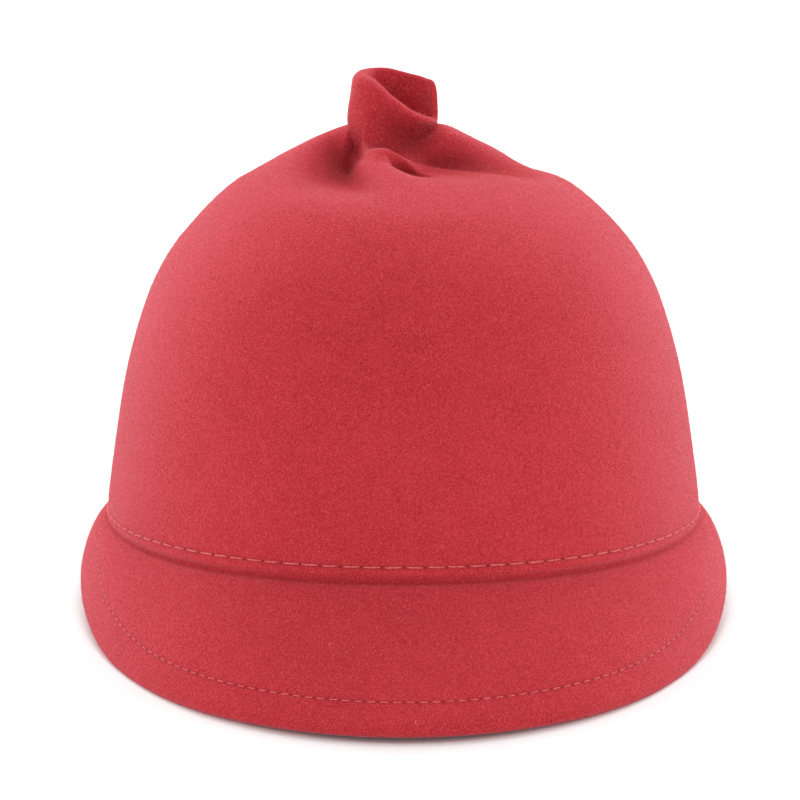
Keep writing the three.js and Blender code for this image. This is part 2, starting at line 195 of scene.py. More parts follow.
def crown_base(column, along):
    wide, long, radius, rise = crown_section(along)
    azimuth = np.radians(turned(column, radius))
    aside = TWIST_OFFSET * smooth(LEAN_START, 1, rise)
    lift = NECK_LIFT * smooth(LIFT_FRONT, 0, np.sin(azimuth)) * smooth(LIFT_REACH, NECK_RADIUS, radius)
    dip = SIDE_DIP * np.cos(azimuth) ** 2 * smooth(DIP_REACH, 0, along)
    up = rise * CROWN_HEIGHT + lift - dip
    return np.stack([aside + wide * np.cos(azimuth), long * np.sin(azimuth), up], -1)


whole_turn = turned(0, HEAD_RADIUS) - turned(0, NECK_RADIUS)
print("from the stitches to the neck the felt turns by", round(float(whole_turn)), "degrees")


# %% [markdown]
# The peak starts at the upper stitches. The felt first runs straight down, then breaks away at a rounded
# corner and slopes outwards. Seen from the side it reaches far in front and runs out to almost nothing behind
# the temples. One section says how far it reaches and drops, and how rounded its slope is.

# %% The peak without the swell of its ledge and its groove
def peak_section(column):
    azimuth = turned(column, HEAD_RADIUS)
    round_ = np.abs(np.mod(azimuth + 270, 360) - 180)
    share = {n: read(PEAK_SECTIONS["round"], PEAK_SECTIONS[n], round_) for n in PEAK_SECTIONS}
    reach, drop = share["reach"] * PEAK_REACH, share["drop"] * PEAK_DROP
    dip = SIDE_DIP * np.cos(np.radians(azimuth)) ** 2
    band = share["ledge"] * LEDGE_DROP
    wall = band + np.hypot(reach, drop - dip - band)
    places = {"groove": band / wall, "hem": 1 - HEM_DEPTH / wall, "edge": 1 - FELT / wall}
    return np.radians(azimuth), reach, drop, dip, share["deep"], share["bulge"], wall, places


def peak_base(column, along):
    azimuth, reach, drop, dip, _, bulge, wall, places = peak_section(column)
    band = places["groove"] * wall
    past = (along / places["groove"] - 1) / GROOVE_SHARE
    past = np.where(past < 1, np.maximum(past + 1, 0) ** 2 / 4, past) * GROOVE_SHARE * band
    straight, along = along * wall - past, past / (wall - band)
    half, deep = HEAD_WIDTH / 2, HEAD_LENGTH / 2
    outward = np.stack([np.cos(azimuth) / half, np.sin(azimuth) / deep, 0 * azimuth], -1)
    outward /= np.linalg.norm(outward, axis=-1, keepdims=True)
    quarter = along * math.pi / 2
    out = reach * ((1 - bulge) * along + bulge * np.sin(quarter))
    down = dip + straight + (drop - dip - band) * ((1 - bulge) * along + bulge * (1 - np.cos(quarter)))
    foot = np.stack([half * np.cos(azimuth), deep * np.sin(azimuth), -down], -1)
    return foot + outward * out[..., None]


front_wall = peak_section(270 - turned(0, HEAD_RADIUS))[6]
print("in front the felt of the peak is", round(float(front_wall), 1), "mm long")


# %% [markdown]
# Felt has two faces a constant distance apart. Both are found from the same base surface by moving along its
# outward direction, and the folds, the ledge under the stitches and the groove are small moves along it too.
# Made this way the wall keeps its thickness wherever it bends.

# %% Move points out of the base surface
SLOPE_STEP = 1e-4


def base(column, at):
    column, at = np.broadcast_arrays(np.asarray(column, float), np.asarray(at, float))
    low = peak_base(column, np.clip(-at, 0, 1))
    high = crown_base(column, np.clip(at, 0, 1))
    return np.where((at < 0)[..., None], low, high)


def directions(column, at):
    """The direction out of the felt, and the direction down along it."""
    side = base(column + SLOPE_STEP * 360, at) - base(column - SLOPE_STEP * 360, at)
    down = base(column, np.maximum(at - SLOPE_STEP, -1)) - base(column, np.minimum(at + SLOPE_STEP, 1))
    down /= np.linalg.norm(down, axis=-1, keepdims=True)
    out = np.cross(down, side)
    return out / np.linalg.norm(out, axis=-1, keepdims=True), down


def fold_height(column, radius):
    height = 0 * column * radius
    for azimuth, share, before, after, start, full, end in FOLDS:
        away = np.mod(column - azimuth + 180, 360) - 180
        across = smooth(np.where(away < 0, before, after), 0, np.abs(away))
        reach = radius / FOLD_REACH
        height += share * FOLD_HEIGHT * across * smooth(start, full, reach) * smooth(end, full, reach)
    return height


def felt_point(column, at, offset=0.0):
    column, at = np.broadcast_arrays(np.asarray(column, float), np.asarray(at, float))
    radius = crown_section(np.clip(at, 0, 1))[2]
    fold = np.where(at > 0, fold_height(column, radius), 0)
    out, _ = directions(column, at)
    return base(column, at) + out * (fold + offset)[..., None]


all_folds = fold_height(np.arange(360.0)[:, None], np.linspace(NECK_RADIUS, HEAD_RADIUS, 60))
print("the folds run from", round(float(all_folds.min()), 1), "to", round(float(all_folds.max()), 1), "mm")


# %% [markdown]
# The twist is what is left of the cone's tip: a short tube, pinched at its foot, whose rim runs down from the
# left at the back to the right in front, so that one looks into it from the front.

# %% The wall, rim and pocket of the twist
def rim_point(column):
    azimuth = turned(column, NECK_RADIUS)
    share = {name: read(RIM_ROUND["azimuth"], RIM_ROUND[name], np.mod(azimuth, 360)) for name in RIM_POINTS}
    up = CROWN_HEIGHT + TWIST_HEIGHT * share["height"]
    return azimuth, RIM_RADIUS * share["radius"], up, FELT * share["thick"] / 2, TWIST_BELLY * share["belly"]


def around_twist(azimuth, radius, up):
    azimuth, radius, up = np.broadcast_arrays(np.radians(azimuth), radius, up)
    return np.stack([TWIST_OFFSET + radius * np.cos(azimuth), radius * np.sin(azimuth), up], -1)


def twist_wall(column, along):
    azimuth, radius, up, half, belly = rim_point(column)
    foot = felt_point(column, 1.0)
    swell = belly * math.sin(math.pi * along**BELLY_LOW)
    wide = NECK_RADIUS + (radius - NECK_RADIUS) * smooth(0, 1, along) + swell
    wall = around_twist(azimuth, wide, 0.0)
    wall += (foot - around_twist(azimuth, NECK_RADIUS, 0.0)) * (1 - along) ** 2
    wall[..., 2] = foot[..., 2] + (up - half - foot[..., 2]) * along
    return wall


def twist_rim(column, share):
    azimuth, radius, up, half, _ = rim_point(column)
    over = share * math.pi
    return around_twist(azimuth, radius - half + half * math.cos(over), up - half + half * math.sin(over))


def twist_pocket(column, along):
    azimuth, radius, up, half, _ = rim_point(column)
    floor = CROWN_HEIGHT + POCKET_FLOOR
    quarter = along * math.pi / 2
    wide = (radius - 2 * half) * math.cos(quarter) ** 0.5
    return around_twist(azimuth, wide, floor + (up - half - floor) * (1 - math.sin(quarter)))


rim_up = rim_point(np.arange(360.0))[2]
print("the rim lies", round(float(rim_up.min())), "to", round(float(rim_up.max())), "mm above the stitches")


# %% [markdown]
# Now the felt is drawn as rings, one inside the other: from the middle of the lining side down to the hem,
# round the folded edge, up the outside, over the rim of the twist and down into its pocket. One closed skin
# results. Each ring also notes its part of the hat, how far it lies from the two rows of stitches, and how
# hollow it is. Little light reaches the hollows between the hairs there, so further on the felt there is
# given
# a painted shade: a darker colour and no sheen.

# %% Lay the rings of the felt
COLUMNS = 400
# Where the rings lie between the stitches and the groove, which is at one.
LEDGE_PLACES = [0.08, 0.2, 0.3, 0.4, 0.5, 0.6, 0.7, 0.78, 0.86, 0.93, 1.0, 1.07, 1.15, 1.24, 1.34, 1.45]
LAST_LEDGE = 1.6  # the plain slope of the peak starts here, as a share of the way from stitches to groove
UNDER_LEDGE = 1.5  # the lining side turns under the peak this far down, in the same shares
HEM_STEP = 0.3  # how far the cut end of the hem slopes, as a share of FELT
FOLD_START = 0.52  # share of the crown's wall at which the folds begin
LAST_INNER = 0.956  # the lining side closes over from this share of the wall on
STITCH_SINK = 0.3  # how deep the upper stitches pull the felt in
STITCH_REACH = 0.03  # half the width of that dip, as a share of the crown's wall
SEAM_END = 0.06  # share of the crown's wall up to which the rings lie close
FAR = 1000.0  # millimetres from any stitch
# How hollow a ring counts sets how much painted shade its felt gets: in the folds, the twist's drawn-in wall
# and the groove.
DEEPEST = 5.0  # a valley this deep counts as fully hollow
DEEPEST_WALL = 3.6  # and so does a wall of the twist drawn in this far
GROOVE_SHADE = 0.35  # how hollow the groove under the ledge counts
WALL_FOOT = 19.0  # radius at which the hollow of such a wall has run out into the crown
INSIDE, PEAK, SIDE, TOP, TWIST = range(5)
# How many rings each stretch of the felt is given, in the order in which they are laid.
LINING_TOP_RINGS, LINING_WALL_RINGS = 25, 7
EDGE_RINGS, PEAK_RINGS = 12, 35
SEAM_RINGS, WALL_RINGS, FOLD_RINGS = 6, 27, 69
TWIST_RINGS, RIM_RINGS, POCKET_RINGS = 21, 8, 12

HEM_ROW = {  # degrees round from the front, and how far above the edge the row runs there
    "round": [0, 30, 50, 65, 78, 88, 92],
    "above": [9.2, 9.3, 10.3, 12.5, 15.5, 17.0, 17.3],
}

around = np.linspace(0, 360, COLUMNS, endpoint=False) + 90  # the first column is at the back
column = around - turned(0, HEAD_RADIUS)
_, _, _, _, deep, _, peak_wall, places = peak_section(column)
crown_wide = NECK_RADIUS + np.array(CROWN_SECTIONS["width"]) * (HEAD_WIDTH / 2 - NECK_RADIUS)
crown_wall = np.hypot(np.diff(crown_wide), np.diff(CROWN_SECTIONS["rise"]) * CROWN_HEIGHT).sum()
rings, ring_zone, ring_upper, ring_hem, ring_hollow = [], [], [], [], []


def hem_row_place(column):
    """Where the lower row lies, as a share of the way from the upper row down to the edge."""
    azimuth = turned(column, HEAD_RADIUS)
    round_ = np.minimum(np.abs(np.mod(azimuth + 270, 360) - 180), HEM_ROW["round"][-1])
    return np.maximum(1 - read(HEM_ROW["round"], HEM_ROW["above"], round_) / peak_section(column)[6], 0)


def steps(start, end, count):
    """Even steps from a start up to the one before the end, where the next stretch begins."""
    return np.linspace(start, end, count, endpoint=False)


def lay(zone, points, upper=FAR, hem=FAR, hollow=0.0):
    """Keep a ring, its part of the hat, how far below each row of stitches it lies, and how hollow it is."""
    rings.append(points)
    ring_hollow.append(np.broadcast_to(hollow, COLUMNS))
    ring_zone.append(zone)
    ring_upper.append(np.broadcast_to(upper, COLUMNS))
    ring_hem.append(np.broadcast_to(hem, COLUMNS))


def lay_peak(share, offset=0.0, hollow=0.0):
    """A ring of the peak's outside, at a share of the way from the upper stitches to the edge."""
    below = share - hem_row_place(column)
    lay(PEAK, felt_point(column, -share, offset), share * peak_wall, below * peak_wall, hollow)


def lay_crown(at):
    dip = -STITCH_SINK * smooth(STITCH_REACH, 0, at)
    radius = crown_section(at)[2]
    under_wall = np.clip(-rim_point(column)[4] / DEEPEST_WALL, 0, 1) * smooth(WALL_FOOT, NECK_RADIUS, radius)
    hollow = np.maximum(np.clip(-fold_height(column, radius) / DEEPEST, 0, 1), under_wall)
    lay(SIDE if at < FOLD_START else TOP, felt_point(column, at, dip), -at * crown_wall, hollow=hollow)


for at in steps(LAST_INNER, FOLD_START, LINING_TOP_RINGS):
    lay(INSIDE, felt_point(column, at, -FELT))
for at in np.linspace(FOLD_START, 0, LINING_WALL_RINGS):
    lay(INSIDE, felt_point(column, at, -FELT))
for share in (0, 0.5, 1):
    under = places["groove"] * UNDER_LEDGE * (1 - share) + places["hem"] * share
    lay(INSIDE, felt_point(column, -under, -FELT))
lay(INSIDE, felt_point(column, -places["hem"] - HEM_STEP * FELT / peak_wall, -2 * FELT))

edge_out, edge_down = directions(column, -places["edge"])
edge_middle = felt_point(column, -places["edge"], -FELT)
for share in steps(1, 0, EDGE_RINGS):
    over = share * math.pi
    under = share * math.pi * FELT
    lay(PEAK, edge_middle + FELT * (edge_out * math.cos(over) + edge_down * math.sin(over)),
        places["edge"] * peak_wall + under, (places["edge"] - hem_row_place(column)) * peak_wall + under)
for share in steps(1, 0, PEAK_RINGS):
    lay_peak(places["edge"] * share + LAST_LEDGE * places["groove"] * (1 - share))
for share in reversed(LEDGE_PLACES):
    swell = LEDGE_SWELL * math.sin(math.pi * min(share, 1)) ** 2
    groove = GROOVE_DEPTH * smooth(GROOVE_SHARE, 0, abs(share - 1))
    lay_peak(share * places["groove"], deep * (swell - groove), deep * GROOVE_SHADE * groove / GROOVE_DEPTH)

for at in steps(0, SEAM_END, SEAM_RINGS):
    lay_crown(at)
for at in steps(SEAM_END, FOLD_START, WALL_RINGS):
    lay_crown(at)
for at in steps(FOLD_START, 1, FOLD_RINGS):
    lay_crown(at)
for along in steps(0, 1, TWIST_RINGS):
    drawn_in = np.clip(-rim_point(column)[4] * math.sin(math.pi * along**BELLY_LOW) / DEEPEST_WALL, 0, 1)
    lay(TWIST, twist_wall(column, along), hollow=np.maximum(drawn_in, ring_hollow[-1] * (1 - along)))
for share in steps(0, 1, RIM_RINGS):
    lay(TWIST, twist_rim(column, share))
for along in steps(0, 1, POCKET_RINGS):
    lay(TWIST, twist_pocket(column, along))
rings = np.array(rings)
print("felt rings and columns:", rings.shape[:2])


# %% [markdown]
# The hat stands on its edge, which touches the table at both sides of the front and at the back. The angle at
# which both ends touch is found by halving, as one would rock the hat until it sits, and the soft edge is
# pressed flat by a millimetre where it bears.

# %% Stand the hat on its edge
HALVINGS = 40
STEEPEST = math.pi / 8  # the search starts between this far forward and this far back


def rest_angle(points):
    flat = points.reshape(-1, 3)
    front = flat[:, 1] < 0

    def lowest(angle, side):
        return (flat[side, 2] * math.cos(angle) - flat[side, 1] * math.sin(angle)).min()

    low, high = -STEEPEST, STEEPEST
    for _ in range(HALVINGS):
        angle = (low + high) / 2
        if lowest(angle, front) > lowest(angle, ~front):
            high = angle
        else:
            low = angle
    return (low + high) / 2


REST_ANGLE = rest_angle(rings)


def tilt(points):
    c, s = math.cos(REST_ANGLE), math.sin(REST_ANGLE)
    turned_y = points[..., 1] * c + points[..., 2] * s
    turned_z = points[..., 2] * c - points[..., 1] * s
    return np.stack([points[..., 0], turned_y, turned_z], -1)


stood = tilt(rings)
MIDDLE_Y = (stood[..., 1].min() + stood[..., 1].max()) / 2
FLOOR_Z = stood[..., 2].min() + FLATTENED


def at_rest(points):
    """Points of the hat on its block, in millimetres, to metres on the table."""
    moved = tilt(np.asarray(points, float)) - [0, MIDDLE_Y, FLOOR_Z]
    moved[..., 2] = np.maximum(moved[..., 2], 0)
    return moved * MM


print("the hat leans back by", round(math.degrees(REST_ANGLE), 2), "degrees")


# %% [markdown]
# Both rows of stitches run along the felt's outside. The upper one goes all the way round. The lower one
# holds the folded hem of the peak, and ends on each side where it meets the upper one.

# %% Chart the two rows of stitches
UPPER_PITCH = 5.8  # from one stitch to the next
HEM_PITCH = 3.5
HEM_ROW_END = 88.0  # degrees round from the middle of the front, on each side
ROW_STEP = 0.5  # degrees between the points that chart a row


def row_points(azimuths, hem):
    at_column = azimuths - turned(0, HEAD_RADIUS)
    at = -hem_row_place(at_column) if hem else 0 * at_column
    out, _ = directions(at_column, at)
    dip = 0.0 if hem else -STITCH_SINK
    return felt_point(at_column, at, dip), tilt(out)


def lengths(points):
    return np.concatenate([[0], np.cumsum(np.linalg.norm(np.diff(points, axis=0), axis=1))])


upper_azimuths = np.arange(0, 360 + ROW_STEP / 2, ROW_STEP) + 90
hem_azimuths = np.arange(-HEM_ROW_END, HEM_ROW_END + ROW_STEP / 2, ROW_STEP) + 270
upper_row, upper_out = row_points(upper_azimuths, False)
hem_row, hem_out = row_points(hem_azimuths, True)
upper_count = round(lengths(upper_row)[-1] / UPPER_PITCH)
hem_count = round(lengths(hem_row)[-1] / HEM_PITCH)
print("upper row:", upper_count, "stitches; hem row:", hem_count, "stitches")

# %% [markdown]
# A ring-by-ring skin is closed with one point at each end. Quads keep the file small, and smooth shading
# hides them. Two charts go with it, one for each row of stitches: the first number counts stitches along the
# row, and the second is the distance below it in millimetres. The needle holes are drawn from them.

# %% Close the felt into one mesh
BARE = 1.0  # no nap stands this close to a row of stitches, or to the table


def mesh_object(name, vertices, faces):
    mesh = bpy.data.meshes.new(name)
    mesh.from_pydata([tuple(v) for v in vertices], [], faces)
    mesh.validate()
    mesh.polygons.foreach_set("use_smooth", [True] * len(mesh.polygons))
    made = bpy.data.objects.new(name, mesh)
    bpy.context.scene.collection.objects.link(made)
    return made


def chart(mesh, name, stitches, away):
    """A chart of the skin from stitch counts at the columns and distances at the rings."""
    layer = mesh.uv_layers.new(name=name)
    corners = []
    for c in range(COLUMNS):
        pole = (stitches[c], FAR)
        corners += [pole, pole, pole] * 2
        left, right, d = stitches[c], stitches[c + 1], (c + 1) % COLUMNS
        for r in range(len(rings) - 1):
            corners += [(left, away[r][c]), (right, away[r][d])]
            corners += [(right, away[r + 1][d]), (left, away[r + 1][c])]
    layer.data.foreach_set("uv", np.array(corners).ravel())


above_table = at_rest(rings)[..., 2] / MM
first, last = rings.shape[0] * COLUMNS, rings.shape[0] * COLUMNS + 1
faces, face_zone = [], []
for c in range(COLUMNS):
    d = (c + 1) % COLUMNS
    faces += [(first, d, c), (last, first - COLUMNS + c, first - COLUMNS + d)]
    face_zone += [INSIDE, INSIDE]
    for r in range(len(rings) - 1):
        low, high = r * COLUMNS, (r + 1) * COLUMNS
        faces.append((low + c, low + d, high + d, high + c))
        beside = min(abs(ring_upper[r][c]), abs(ring_hem[r][c]), above_table[r][c]) < BARE
        face_zone.append(INSIDE if beside or ring_zone[r] == INSIDE else ring_zone[r + 1])
inner_pole = (TWIST_OFFSET, 0, felt_point(column, 1.0, -FELT)[:, 2].min())
pocket_pole = (TWIST_OFFSET, 0, CROWN_HEIGHT + POCKET_FLOOR)
skin = np.concatenate([at_rest(rings).reshape(-1, 3), at_rest([inner_pole, pocket_pole])])
felt_hat = mesh_object("felt_hat", skin, faces)
felt_hat.data.attributes.new("zone", "INT", "FACE").data.foreach_set("value", face_zone)
all_round = np.append(around, around[0] + 360)
upper_share = np.interp(all_round, upper_azimuths, lengths(upper_row)) / lengths(upper_row)[-1]
hem_share = np.interp(all_round, hem_azimuths, lengths(hem_row)) / lengths(hem_row)[-1]
hollow = np.append(np.array(ring_hollow).ravel(), [0.0, 0.0])
felt_hat.data.attributes.new("hollow", "FLOAT", "POINT").data.foreach_set("value", hollow)
chart(felt_hat.data, "upper_row", upper_share * upper_count, ring_upper)
past_end = np.abs(around - 270) > HEM_ROW_END
chart(felt_hat.data, "hem_row", hem_share * hem_count, [np.where(past_end, FAR, ring) for ring in ring_hem])
print("felt faces:", len(felt_hat.data.polygons))

# %% [markdown]
# Thread and fibres repeat thousands of times, so Geometry Nodes lays them. Each tree is built here from a few
# lines, takes its sizes as named inputs, and is turned into a plain mesh at once.

# %% Helpers for the node trees
def link_all(tree, node, given):
    for key, value in given.items():
        socket = node.inputs[key]
        if isinstance(value, bpy.types.NodeSocket):
            tree.links.new(value, socket)
        else:
            socket.default_value = value


def add(tree, kind, given=None, **settings):
    """A node with its settings and inputs, each input a value or another node's output."""
    node = tree.nodes.new(kind)
    for key, value in settings.items():
        setattr(node, key, value)
    link_all(tree, node, given or {})
    return node


def maths(tree, operation, *values):
    node = add(tree, "ShaderNodeMath", operation=operation)
    link_all(tree, node, dict(enumerate(values)))
    return node.outputs[0]


def new_tree(name, inputs):
    """An empty tree with a geometry input and output, and the group's own inputs by name."""
    tree = bpy.data.node_groups.new(name, "GeometryNodeTree")
    tree.interface.new_socket("Geometry", in_out="INPUT", socket_type="NodeSocketGeometry")
    for key, value in inputs.items():
        kind = "NodeSocketInt" if isinstance(value, int) else "NodeSocketFloat"
        tree.interface.new_socket(key, in_out="INPUT", socket_type=kind)
    tree.interface.new_socket("Geometry", in_out="OUTPUT", socket_type="NodeSocketGeometry")
    return tree, tree.nodes.new("NodeGroupInput").outputs


def chance(tree, low, high, seed):
    """A number drawn between two others, a new one for each point."""
    return add(tree, "FunctionNodeRandomValue", {2: low, 3: high, 8: seed}, data_type="FLOAT").outputs[1]


def chances(tree, low, high, seed):
    """Three such numbers at once."""
    drawn = add(tree, "FunctionNodeRandomValue", {0: low, 1: high, 8: seed}, data_type="FLOAT_VECTOR")
    return drawn.outputs[0]


def turned_by(tree, first, second):
    """A rotation, and then another in the frame that the first has turned."""
    return add(tree, "FunctionNodeRotateRotation", {0: first, 1: second}, rotation_space="LOCAL").outputs[0]


def scatter(tree, given, density):
    """Points spread by chance over the faces of one part of the hat."""
    zone = add(tree, "GeometryNodeInputNamedAttribute", {"Name": "zone"}, data_type="INT").outputs[0]
    here = add(tree, "FunctionNodeCompare", {2: zone, 3: given["Zone"]}, data_type="INT", operation="EQUAL")
    chosen = {"Geometry": given["Geometry"], "Selection": here.outputs[0]}
    part = add(tree, "GeometryNodeSeparateGeometry", chosen, domain="FACE")
    spread = {"Mesh": part.outputs[0], "Density": density, "Seed": given["Seed"]}
    return add(tree, "GeometryNodeDistributePointsOnFaces", spread).outputs


def finish_tree(tree, instances, material):
    real = add(tree, "GeometryNodeRealizeInstances", {"Geometry": instances})
    shown = add(tree, "GeometryNodeSetMaterial", {"Geometry": real.outputs[0], "Material": material})
    out = tree.nodes.new("NodeGroupOutput")
    tree.links.new(shown.outputs[0], out.inputs[0])


def grow(name, tree, inputs, carrier):
    """The plain mesh that a tree makes on a carrier, riding with the hat."""
    modifier = carrier.modifiers.new(name, "NODES")
    modifier.node_group = tree
    for item in tree.interface.items_tree:
        if item.in_out == "INPUT" and item.name in inputs:
            modifier[item.identifier] = inputs[item.name]
    depsgraph = bpy.context.evaluated_depsgraph_get()
    mesh = bpy.data.meshes.new_from_object(carrier.evaluated_get(depsgraph))
    carrier.modifiers.remove(modifier)
    mesh.name = name
    made = bpy.data.objects.new(name, mesh)
    bpy.context.scene.collection.objects.link(made)
    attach(made, "root")
    print(name, "faces:", len(mesh.polygons))
    return made


# %% [markdown]
# Every shade of the felt is drawn from where a point lies in the hat, so it stays in place from any side.
# Wool takes dye a little unevenly, the fibres lie in clumps, and steam leaves broad paler and darker areas.

# %% Helpers for the materials
def material(name):
    made = bpy.data.materials.new(name)
    made.use_nodes = True
    return made, made.node_tree, made.node_tree.nodes["Principled BSDF"]


def noise(tree, coordinates, features_per_m, detail=2.0, roughness=0.5, distortion=0.0, kind="FBM"):
    given = {"Vector": coordinates, "Scale": features_per_m, "Detail": detail, "Roughness": roughness,
             "Distortion": distortion}
    return add(tree, "ShaderNodeTexNoise", given, noise_type=kind).outputs["Fac"]


def ramp(tree, value, start, end, low=0.0, high=1.0):
    given = {"Value": value, "From Min": start, "From Max": end, "To Min": low, "To Max": high}
    return add(tree, "ShaderNodeMapRange", given, interpolation_type="SMOOTHSTEP").outputs[0]


def mixture(tree, *parts):
    """The sum of several patterns, each with its weight."""
    total = maths(tree, "MULTIPLY", *parts[0])
    for pattern, weight in parts[1:]:
        total = maths(tree, "ADD", total, maths(tree, "MULTIPLY", pattern, weight))
    return total


def blend(tree, share, first_colour, second_colour):
    node = add(tree, "ShaderNodeMix", data_type="RGBA", blend_type="MIX")
    link_all(tree, node, {0: share, 6: first_colour, 7: second_colour})
    return node.outputs[2]


# %% [markdown]
# The felt itself. Its colour is mixed from broad, middle and fine noise, with painted shade in the needle
# holes, along the dip at the two seams and in the hollows. The bump is the same clumped fibre. Sheen is a
# soft light at the edge of a form, and stands for hairs too short to model; the painted shade of the hollows
# takes it away there. A flat red with no bump would be quicker, and look like clay.

# %% The felt
DYE = (0.555, 0.035, 0.045, 1)
DYE_DEEP = (0.385, 0.013, 0.019, 1)
DYE_PALE = (0.77, 0.110, 0.125, 1)
# Painted shade for the needle holes and for the dip along each seam.
PAINTED_HOLE_SHADE = (0.10, 0.008, 0.012, 1)
# Painted shade for the hollows, and how much of it a fully hollow place gets.
PAINTED_HOLLOW_SHADE = (0.15, 0.006, 0.010, 1)
HOLLOW_SHADE = 0.6
HOLE = 0.42  # radius of a needle hole in millimetres
PULL = 1.1  # how far the thread pulls the felt in on each side
PULL_SHADE = 0.18
SHEEN = 0.39  # out in the open; there is none in a hollow
CLUMPS_PER_M = 2300
STRANDS_PER_M = 850
FIBRES_PER_M = 3600
STRAND_LOW, STRAND_HIGH = 0.4, 1.1  # between these the ridged noise turns from felt to a paler strand


def seam_shade(tree, layer, pitch):
    """Painted shade along a row of stitches: in its needle holes, and on the dip where it pulls the felt in.
    """
    uv = add(tree, "ShaderNodeUVMap", uv_map=layer).outputs[0]
    parts = add(tree, "ShaderNodeSeparateXYZ", {0: uv}).outputs
    along = maths(tree, "MULTIPLY", maths(tree, "PINGPONG", parts[0], 0.5), pitch)
    away = maths(tree, "ABSOLUTE", parts[1])
    distance = maths(tree, "SQRT", maths(tree, "ADD", maths(tree, "MULTIPLY", along, along),
                                         maths(tree, "MULTIPLY", away, away)))
    hole = ramp(tree, distance, HOLE * 1.5, HOLE * 0.5)
    pull = ramp(tree, away, PULL, 0.0)
    return hole, pull


felt, felt_tree, felt_shader = material("wool_felt")
here = add(felt_tree, "ShaderNodeTexCoord").outputs["Object"]
broad = noise(felt_tree, here, 14, 3.0, 0.55)
cloudy = noise(felt_tree, here, 90, 3.0, 0.6, 0.4)
clumps = noise(felt_tree, here, CLUMPS_PER_M, 3.0, 0.65, 0.6)
strands = noise(felt_tree, here, STRANDS_PER_M, 4.0, 0.6, 1.6, "RIDGED_MULTIFRACTAL")
fibres = noise(felt_tree, here, FIBRES_PER_M, 2.0, 0.7, 1.2)
uneven = mixture(felt_tree, (broad, 0.1), (cloudy, 0.1), (clumps, 0.8))
colour = blend(felt_tree, ramp(felt_tree, uneven, 0.41, 0.59), DYE_DEEP, DYE)
colour = blend(felt_tree, ramp(felt_tree, strands, STRAND_LOW, STRAND_HIGH, 0.0, 0.5), colour, DYE_PALE)
colour = blend(felt_tree, ramp(felt_tree, fibres, 0.50, 0.68, 0.0, 0.7), colour, DYE_PALE)
# Painted shade: dark needle holes, and a darker band along the dip that each row pulls into the felt.
for layer, pitch, depth in (("upper_row", UPPER_PITCH, 0.6), ("hem_row", HEM_PITCH, 0.55)):
    hole, pull = seam_shade(felt_tree, layer, pitch)
    pulled = maths(felt_tree, "MULTIPLY", pull, PULL_SHADE)
    dark = maths(felt_tree, "MAXIMUM", maths(felt_tree, "MULTIPLY", hole, depth), pulled)
    colour = blend(felt_tree, dark, colour, PAINTED_HOLE_SHADE)
# Painted shade in the hollows: the colour is darkened and the sheen taken away, as shade would there.
how_hollow = add(felt_tree, "ShaderNodeAttribute", attribute_name="hollow").outputs["Fac"]
colour = blend(felt_tree, maths(felt_tree, "MULTIPLY", how_hollow, HOLLOW_SHADE), colour, PAINTED_HOLLOW_SHADE)
open_sheen = ramp(felt_tree, how_hollow, 0.0, 0.6, SHEEN, 0.0)
tufts = ramp(felt_tree, clumps, 0.41, 0.59, 0.5, 1.5)
sheen = maths(felt_tree, "MULTIPLY", open_sheen, tufts)
bump_height = mixture(felt_tree, (clumps, 0.6), (fibres, 0.4), (strands, 0.35))
bump = add(felt_tree, "ShaderNodeBump", {"Height": bump_height, "Strength": 0.85, "Distance": 0.0004})
link_all(felt_tree, felt_shader, {"Base Color": colour, "Normal": bump.outputs[0], "Roughness": 0.95,
                                  "Specular IOR Level": 0.15, "Sheen Weight": sheen, "Sheen Roughness": 0.31,
                                  "Sheen Tint": (1.0, 0.54, 0.68, 1)})
felt_hat.data.materials.append(felt)
print("felt material:", len(felt_tree.nodes), "nodes")
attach(felt_hat, "root")
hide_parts("felt_body")

# %% [markdown]
# The thread is a two-ply cotton in a lighter shade. Each stitch is an oval cord, twisted one and a half times
# along its length, whose ends dip into their needle holes. A machine makes them almost, but not quite, alike.

# %% The stitches
THREAD_DARK = (0.62, 0.08, 0.085, 1)
THREAD_PALE = (0.86, 0.21, 0.21, 1)
PLY_PER_M = 2600
CORD_POINTS = 9  # along each stitch
CORD_SIDES = 6
CORD_OVAL = (0.5, 0.36, 1)  # half its width and half its height, as shares of the thread's thickness
THREAD_TURNS = 1.5
ARCH_POWER = 0.4  # below one, a stitch lies flat and turns down sharply at its ends
ASKEW = ((-0.02, -0.05, -0.045), (0.02, 0.05, 0.045))  # radians that a stitch may lie off, about each axis
ASKEW_SEED = 3
STITCH_SIZES = ((0.93, 0.9, 0.85), (1.04, 1.08, 1.1))  # shares of its length, width and rise
STITCH_SIZE_SEED = 5
NEEDLE_DIP = 0.3  # millimetres that the ends of a stitch go into the felt

thread, thread_tree, thread_shader = material("stitch_thread")
there = add(thread_tree, "ShaderNodeTexCoord").outputs["Object"]
ply = noise(thread_tree, there, PLY_PER_M, 2.0, 0.6, 0.5)
shade = blend(thread_tree, ramp(thread_tree, ply, 0.35, 0.7), THREAD_DARK, THREAD_PALE)
thread_bump = add(thread_tree, "ShaderNodeBump", {"Height": ply, "Strength": 0.4, "Distance": 0.0001})
link_all(thread_tree, thread_shader, {"Base Color": shade, "Normal": thread_bump.outputs[0], "Roughness": 0.7,
                                      "Specular IOR Level": 0.4})


